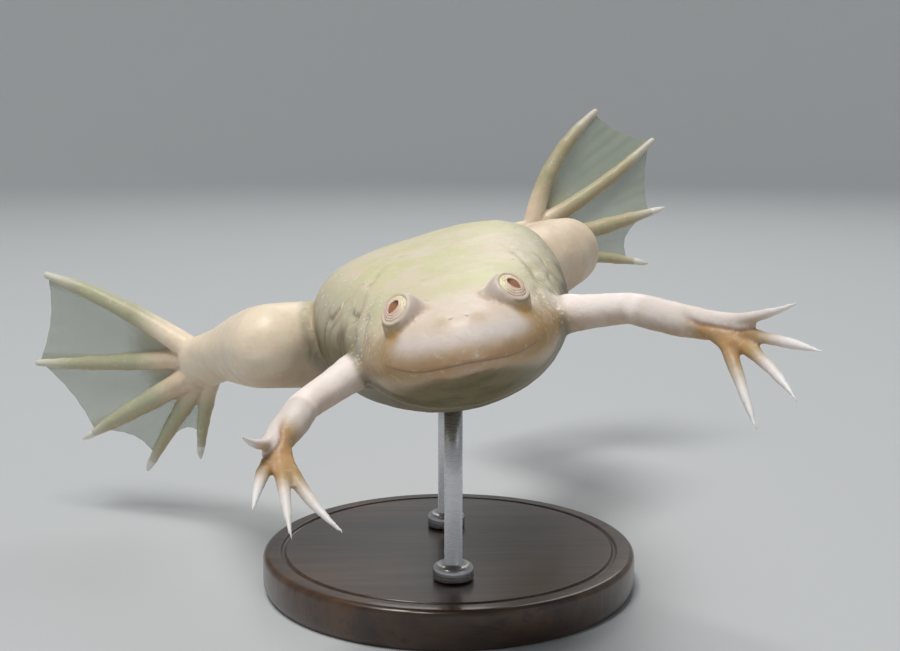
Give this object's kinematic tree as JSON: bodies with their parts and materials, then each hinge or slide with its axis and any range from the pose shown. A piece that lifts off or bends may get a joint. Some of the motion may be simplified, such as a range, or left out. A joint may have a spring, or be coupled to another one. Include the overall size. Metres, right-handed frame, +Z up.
{
  "type": "african clawed frog, swimming, on a display stand",
  "caption": "Life-size albino African clawed frog model, swimming with spread arms and webbed hind feet, banked a little, held over a round base by rods.",
  "frame": {"origin": "centre of the stand's flat underside, on the table", "axes": "+Z up; the frog faces -Y, with its left side towards +X"},
  "size_m": [0.1014, 0.125, 0.0603],
  "materials": {
    "back_skin": "soft satin, painted cream, pale yellow-green and tan",
    "limb_skin": "soft satin, painted pinkish white with faint red and grey-green toes",
    "web_skin": "thin, translucent, satin, grey-green",
    "eye": "satin, cream iris in fine rings and a red-brown pupil",
    "claw": "pale horn, smooth",
    "dark_wood": "dark stain under satin varnish",
    "rod_metal": "brushed"
  },
  "bodies": {
    "root": {"head": "back_skin", "trunk": "back_skin", "eye_left": "eye", "eye_right": "eye", "upper_arm_left": "limb_skin", "upper_arm_right": "limb_skin", "forearm_left": "limb_skin", "forearm_right": "limb_skin", "hand_left": "limb_skin", "hand_right": "limb_skin", "thigh_left": "limb_skin", "thigh_right": "limb_skin", "shank_left": "limb_skin", "shank_right": "limb_skin", "foot_left": "limb_skin", "foot_right": "limb_skin", "claw_left_1": "claw", "claw_left_2": "claw", "claw_left_3": "claw", "claw_right_1": "claw", "claw_right_2": "claw", "claw_right_3": "claw", "stand_base": "dark_wood", "stand_rod_front": "rod_metal", "stand_rod_rear": "rod_metal"}
  },
  "joints": []
}
